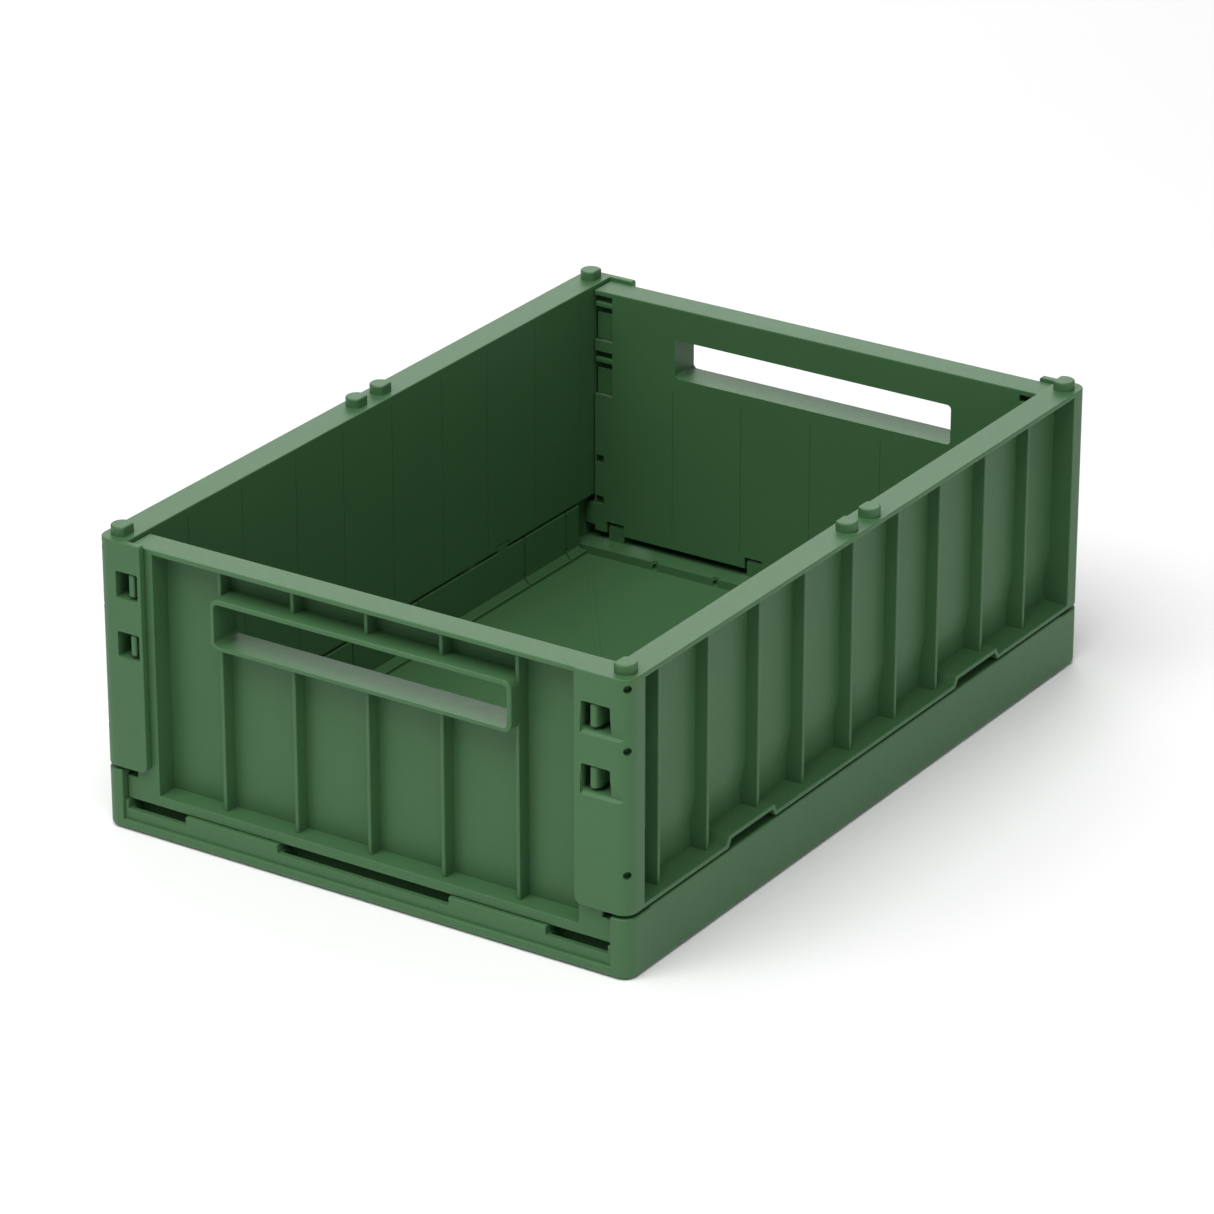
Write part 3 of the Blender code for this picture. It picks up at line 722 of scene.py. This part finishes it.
def end_frame_cuts(wall, side):
    """The notches that the latches stand in, the mouths for their heads, and two small holes."""
    notch_x = mirrored(side, LATCH_NOTCH_X, END_HALF + OVER)
    notch_y = end_y(END_Y[0] - OVER, LATCH_NOTCH_Y)
    mouth_x = mirrored(side, LATCH_MOUTH_X[side], END_HALF + OVER)
    mouth_y = end_y(LATCH_NOTCH_Y - OVER, END_Y[1] + OVER)
    for low, high in LATCH_Z:
        start = low - LATCH_NOTCH_MARGIN
        wall.block(notch_x, notch_y, (start, high + LATCH_NOTCH_RISE), 0.0)
        wall.block(mouth_x, mouth_y, (start, high - LATCH_MOUTH_DROP), 0.0)
    for z in KEY_HOLES_Z:
        hole_x = mirrored(side, KEY_HOLE_X - KEY_HOLE, KEY_HOLE_X + KEY_HOLE)
        wall.block(hole_x, end_y(END_Y[0] - OVER, END_PANEL_Y), (z - KEY_HOLE, z + KEY_HOLE), FINE)


def clip_room(wall, middle):
    """The space for one of the tray's clips and its stem."""
    x = (middle - CLIP_WIDTH / 2 - CLIP_ROOM, middle + CLIP_WIDTH / 2 + CLIP_ROOM)
    reach = CLIP_RADIUS + CLIP_ROOM
    wall.rod((-END_AXIS[0], END_AXIS[1]), reach, *x, "x", 0.0)
    stem_y = end_y(END_Y[0] - OVER, END_AXIS[0])
    wall.block(x, stem_y, (END_AXIS[1] - reach, END_AXIS[1] + reach), 0.0)


def end_wall(name, turned):
    """The end wall, with the journals and latch bars joined on after the cuts."""
    wall = Moulding()
    end_panel(wall)
    wall.cut()
    hand_slot(wall)
    for side in (-1, 1):
        end_frame_cuts(wall, side)
    for middle in END_CLIPS:
        clip_room(wall, middle)
    for middle in END_RIBS:
        x = (middle - LINE_WIDTH / 2, middle + LINE_WIDTH / 2)
        y = end_y(END_Y[0] - OVER, END_Y[0] + LINE_DEPTH)
        wall.block(x, y, (END_Z[0] + LINE_MARGIN, HANDLE_Z[0] - LINE_MARGIN), 0.0)
    wall.add()
    for low, high in END_JOURNALS:
        wall.rod((-END_AXIS[0], END_AXIS[1]), JOURNAL_RADIUS, low, high, "x")
    for side in (-1, 1):
        bar_x = mirrored(side, LATCH_NOTCH_X - OVER / 2, LATCH_PLATE_X[1])
        for _, high in LATCH_Z:
            bar_z = (high + LATCH_BAR_RISE[0], high + LATCH_BAR_RISE[1])
            wall.block(bar_x, end_y(*LATCH_BAR_Y), bar_z, THIN)
    return wall.finished(name, turned)


# ---------------------------------------------------------------- latches

def latch(name, side, end, window_z):
    """A spring tongue: its plate, and a head with a ramp that faces the wall's corner."""
    low, high = window_z
    piece = Moulding()
    root = LATCH_PLATE_Y[0] + OVER
    outline = [(LATCH_HEAD_X[0], root), (LATCH_HEAD_X[1], root)]
    outline += [(LATCH_HEAD_X[1], LATCH_HEAD_Y - LATCH_RAMP)]
    outline += [(LATCH_HEAD_X[1] - LATCH_RAMP / 2, LATCH_HEAD_Y), (LATCH_HEAD_X[0], LATCH_HEAD_Y)]
    outline = [(side * u, end * v) for u, v in outline]
    head_z = (low + LATCH_HEAD_FOOT, high - LATCH_HEAD_GAP)
    piece.prism(outline, *head_z, "z", SOFT, segments=SOFT_SEGMENTS)
    plate_z = (low - LATCH_PLATE_MARGIN, high + LATCH_PLATE_MARGIN)
    piece.block(mirrored(side, *LATCH_PLATE_X), mirrored(end, *LATCH_PLATE_Y), plate_z, FINE)
    return piece.finished(name)


# ---------------------------------------------------------------- materials

def linear(colour):
    """An sRGB colour as linear light, with full alpha."""
    return tuple((c / 12.92 if c <= 0.04045 else ((c + 0.055) / 1.055) ** 2.4) for c in colour) + (1.0,)


def node(tree, kind, **inputs):
    """A shader node with values for its inputs; a name's _ stands for a space."""
    made = tree.nodes.new(kind)
    for key, value in inputs.items():
        made.inputs[key.replace("_", " ")].default_value = value
    return made


def polypropylene(name, base, roughness, grain):
    """Moulded plastic: a fine spark grain, faint flow mottling in colour and gloss, and soft unevenness."""
    material = bpy.data.materials.new(name)
    material.use_nodes = True
    tree = material.node_tree
    link = tree.links.new
    shader = tree.nodes["Principled BSDF"]
    place = tree.nodes.new("ShaderNodeTexCoord").outputs["Object"]

    mottle = node(tree, "ShaderNodeTexNoise", Scale=26.0, Detail=4.0, Roughness=0.55)
    link(place, mottle.inputs["Vector"])
    tint = tree.nodes.new("ShaderNodeMix")
    tint.data_type = "RGBA"
    tint.inputs[6].default_value = linear([c * (1 - MOTTLE) for c in base])
    tint.inputs[7].default_value = linear([min(1.0, c * (1 + MOTTLE)) for c in base])
    link(mottle.outputs["Fac"], tint.inputs[0])
    link(tint.outputs[2], shader.inputs["Base Color"])

    speck = node(tree, "ShaderNodeTexNoise", Scale=420.0, Detail=2.0, Roughness=0.6)
    link(place, speck.inputs["Vector"])
    gloss = node(tree, "ShaderNodeMapRange")
    gloss.inputs["To Min"].default_value = roughness + ROUGHNESS_SPREAD[0]
    gloss.inputs["To Max"].default_value = roughness + ROUGHNESS_SPREAD[1]
    link(speck.outputs["Fac"], gloss.inputs["Value"])
    link(gloss.outputs["Result"], shader.inputs["Roughness"])

    grit = node(tree, "ShaderNodeTexNoise", Scale=2600.0, Detail=2.0, Roughness=0.5)
    link(place, grit.inputs["Vector"])
    wave = node(tree, "ShaderNodeTexNoise", Scale=38.0, Detail=1.0, Roughness=0.4)
    link(place, wave.inputs["Vector"])
    broad = node(tree, "ShaderNodeBump", Strength=0.25, Distance=0.0004)
    link(wave.outputs["Fac"], broad.inputs["Height"])
    fine = node(tree, "ShaderNodeBump", Strength=grain, Distance=0.00005)
    link(grit.outputs["Fac"], fine.inputs["Height"])
    link(broad.outputs["Normal"], fine.inputs["Normal"])
    link(fine.outputs["Normal"], shader.inputs["Normal"])
    shader.inputs["IOR"].default_value = REFRACTION
    shader.inputs["Specular IOR Level"].default_value = GLOSS
    shader.inputs["Specular Tint"].default_value = SHEEN
    return material


def dress(piece, node_name, body, material):
    """Give a moulding its one material, and put it in place of its CAD node, on that node's body."""
    piece.data.materials.clear()
    piece.data.materials.append(material)
    piece.data.polygons.foreach_set("material_index", [0] * len(piece.data.polygons))
    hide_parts(node_name)
    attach(piece, body)


# ---------------------------------------------------------------- stage, light and camera

def plain_material(name, colour, roughness):
    material = bpy.data.materials.new(name)
    material.use_nodes = True
    shader = material.node_tree.nodes["Principled BSDF"]
    shader.inputs["Base Color"].default_value = (*colour, 1.0)
    shader.inputs["Roughness"].default_value = roughness
    return material


def stage():
    """A plain pale floor just under the crate."""
    mesh = bmesh.new()
    bmesh.ops.create_grid(mesh, x_segments=1, y_segments=1, size=STAGE_REACH)
    data = bpy.data.meshes.new("floor")
    mesh.to_mesh(data)
    mesh.free()
    floor = bpy.data.objects.new("floor", data)
    bpy.context.scene.collection.objects.link(floor)
    floor.location.z = CAD_BOX[0].z - STAGE_GAP
    data.materials.append(plain_material("pale_floor", STAGE_COLOUR, STAGE_ROUGHNESS))


def area_light(name, place, aim, size, power):
    data = bpy.data.lights.new(name, "AREA")
    data.shape = "DISK"
    data.size = size
    data.energy = power
    made = bpy.data.objects.new(name, data)
    bpy.context.scene.collection.objects.link(made)
    made.location = place
    made.rotation_euler = (Vector(aim) - Vector(place)).to_track_quat("-Z", "Y").to_euler()


def light():
    world = bpy.data.worlds.new("soft_dome")
    bpy.context.scene.world = world
    world.use_nodes = True
    background = world.node_tree.nodes["Background"]
    background.inputs["Color"].default_value = (1.0, 1.0, 1.0, 1.0)
    background.inputs["Strength"].default_value = WORLD_LIGHT
    for name, place, size, power in LIGHTS:
        area_light(name, place, LIGHTS_AIM, size, power)


def camera():
    data = bpy.data.cameras.new("camera")
    data.lens = LENS
    data.sensor_width = SENSOR
    made = bpy.data.objects.new("camera", data)
    bpy.context.scene.collection.objects.link(made)
    azimuth = math.radians(AZIMUTH)
    elevation = math.radians(ELEVATION)
    level = math.cos(elevation)
    back = Vector((math.sin(azimuth) * level, -math.cos(azimuth) * level, math.sin(elevation)))
    aim = Vector(AIM)
    made.location = aim + back * DISTANCE
    made.rotation_euler = (-back).to_track_quat("-Z", "Y").to_euler()
    bpy.context.scene.camera = made


def main():
    crate = polypropylene("green_polypropylene", GREEN, *CRATE_FINISH)
    smooth = polypropylene("green_polypropylene_latch", GREEN, *LATCH_FINISH)
    dress(base_tray(), "base_tray", "tray", crate)
    for name, turned in (("long_wall_right", False), ("long_wall_left", True)):
        dress(long_wall(name, turned), name, "tray", crate)
    for end_name, turned in (("front", False), ("rear", True)):
        name = "end_wall_" + end_name
        dress(end_wall(name, turned), name, end_name + "_wall", crate)
    for end, end_name in ((-1, "front"), (1, "rear")):
        for side, side_name in ((-1, "left"), (1, "right")):
            for window_z, level in zip(LATCH_Z, ("lower", "upper")):
                name = "latch_%s_%s_%s" % (end_name, side_name, level)
                dress(latch(name, side, end, window_z), name, name, smooth)
    stage()
    light()
    camera()
    bpy.context.scene.view_settings.view_transform = "Standard"


main()
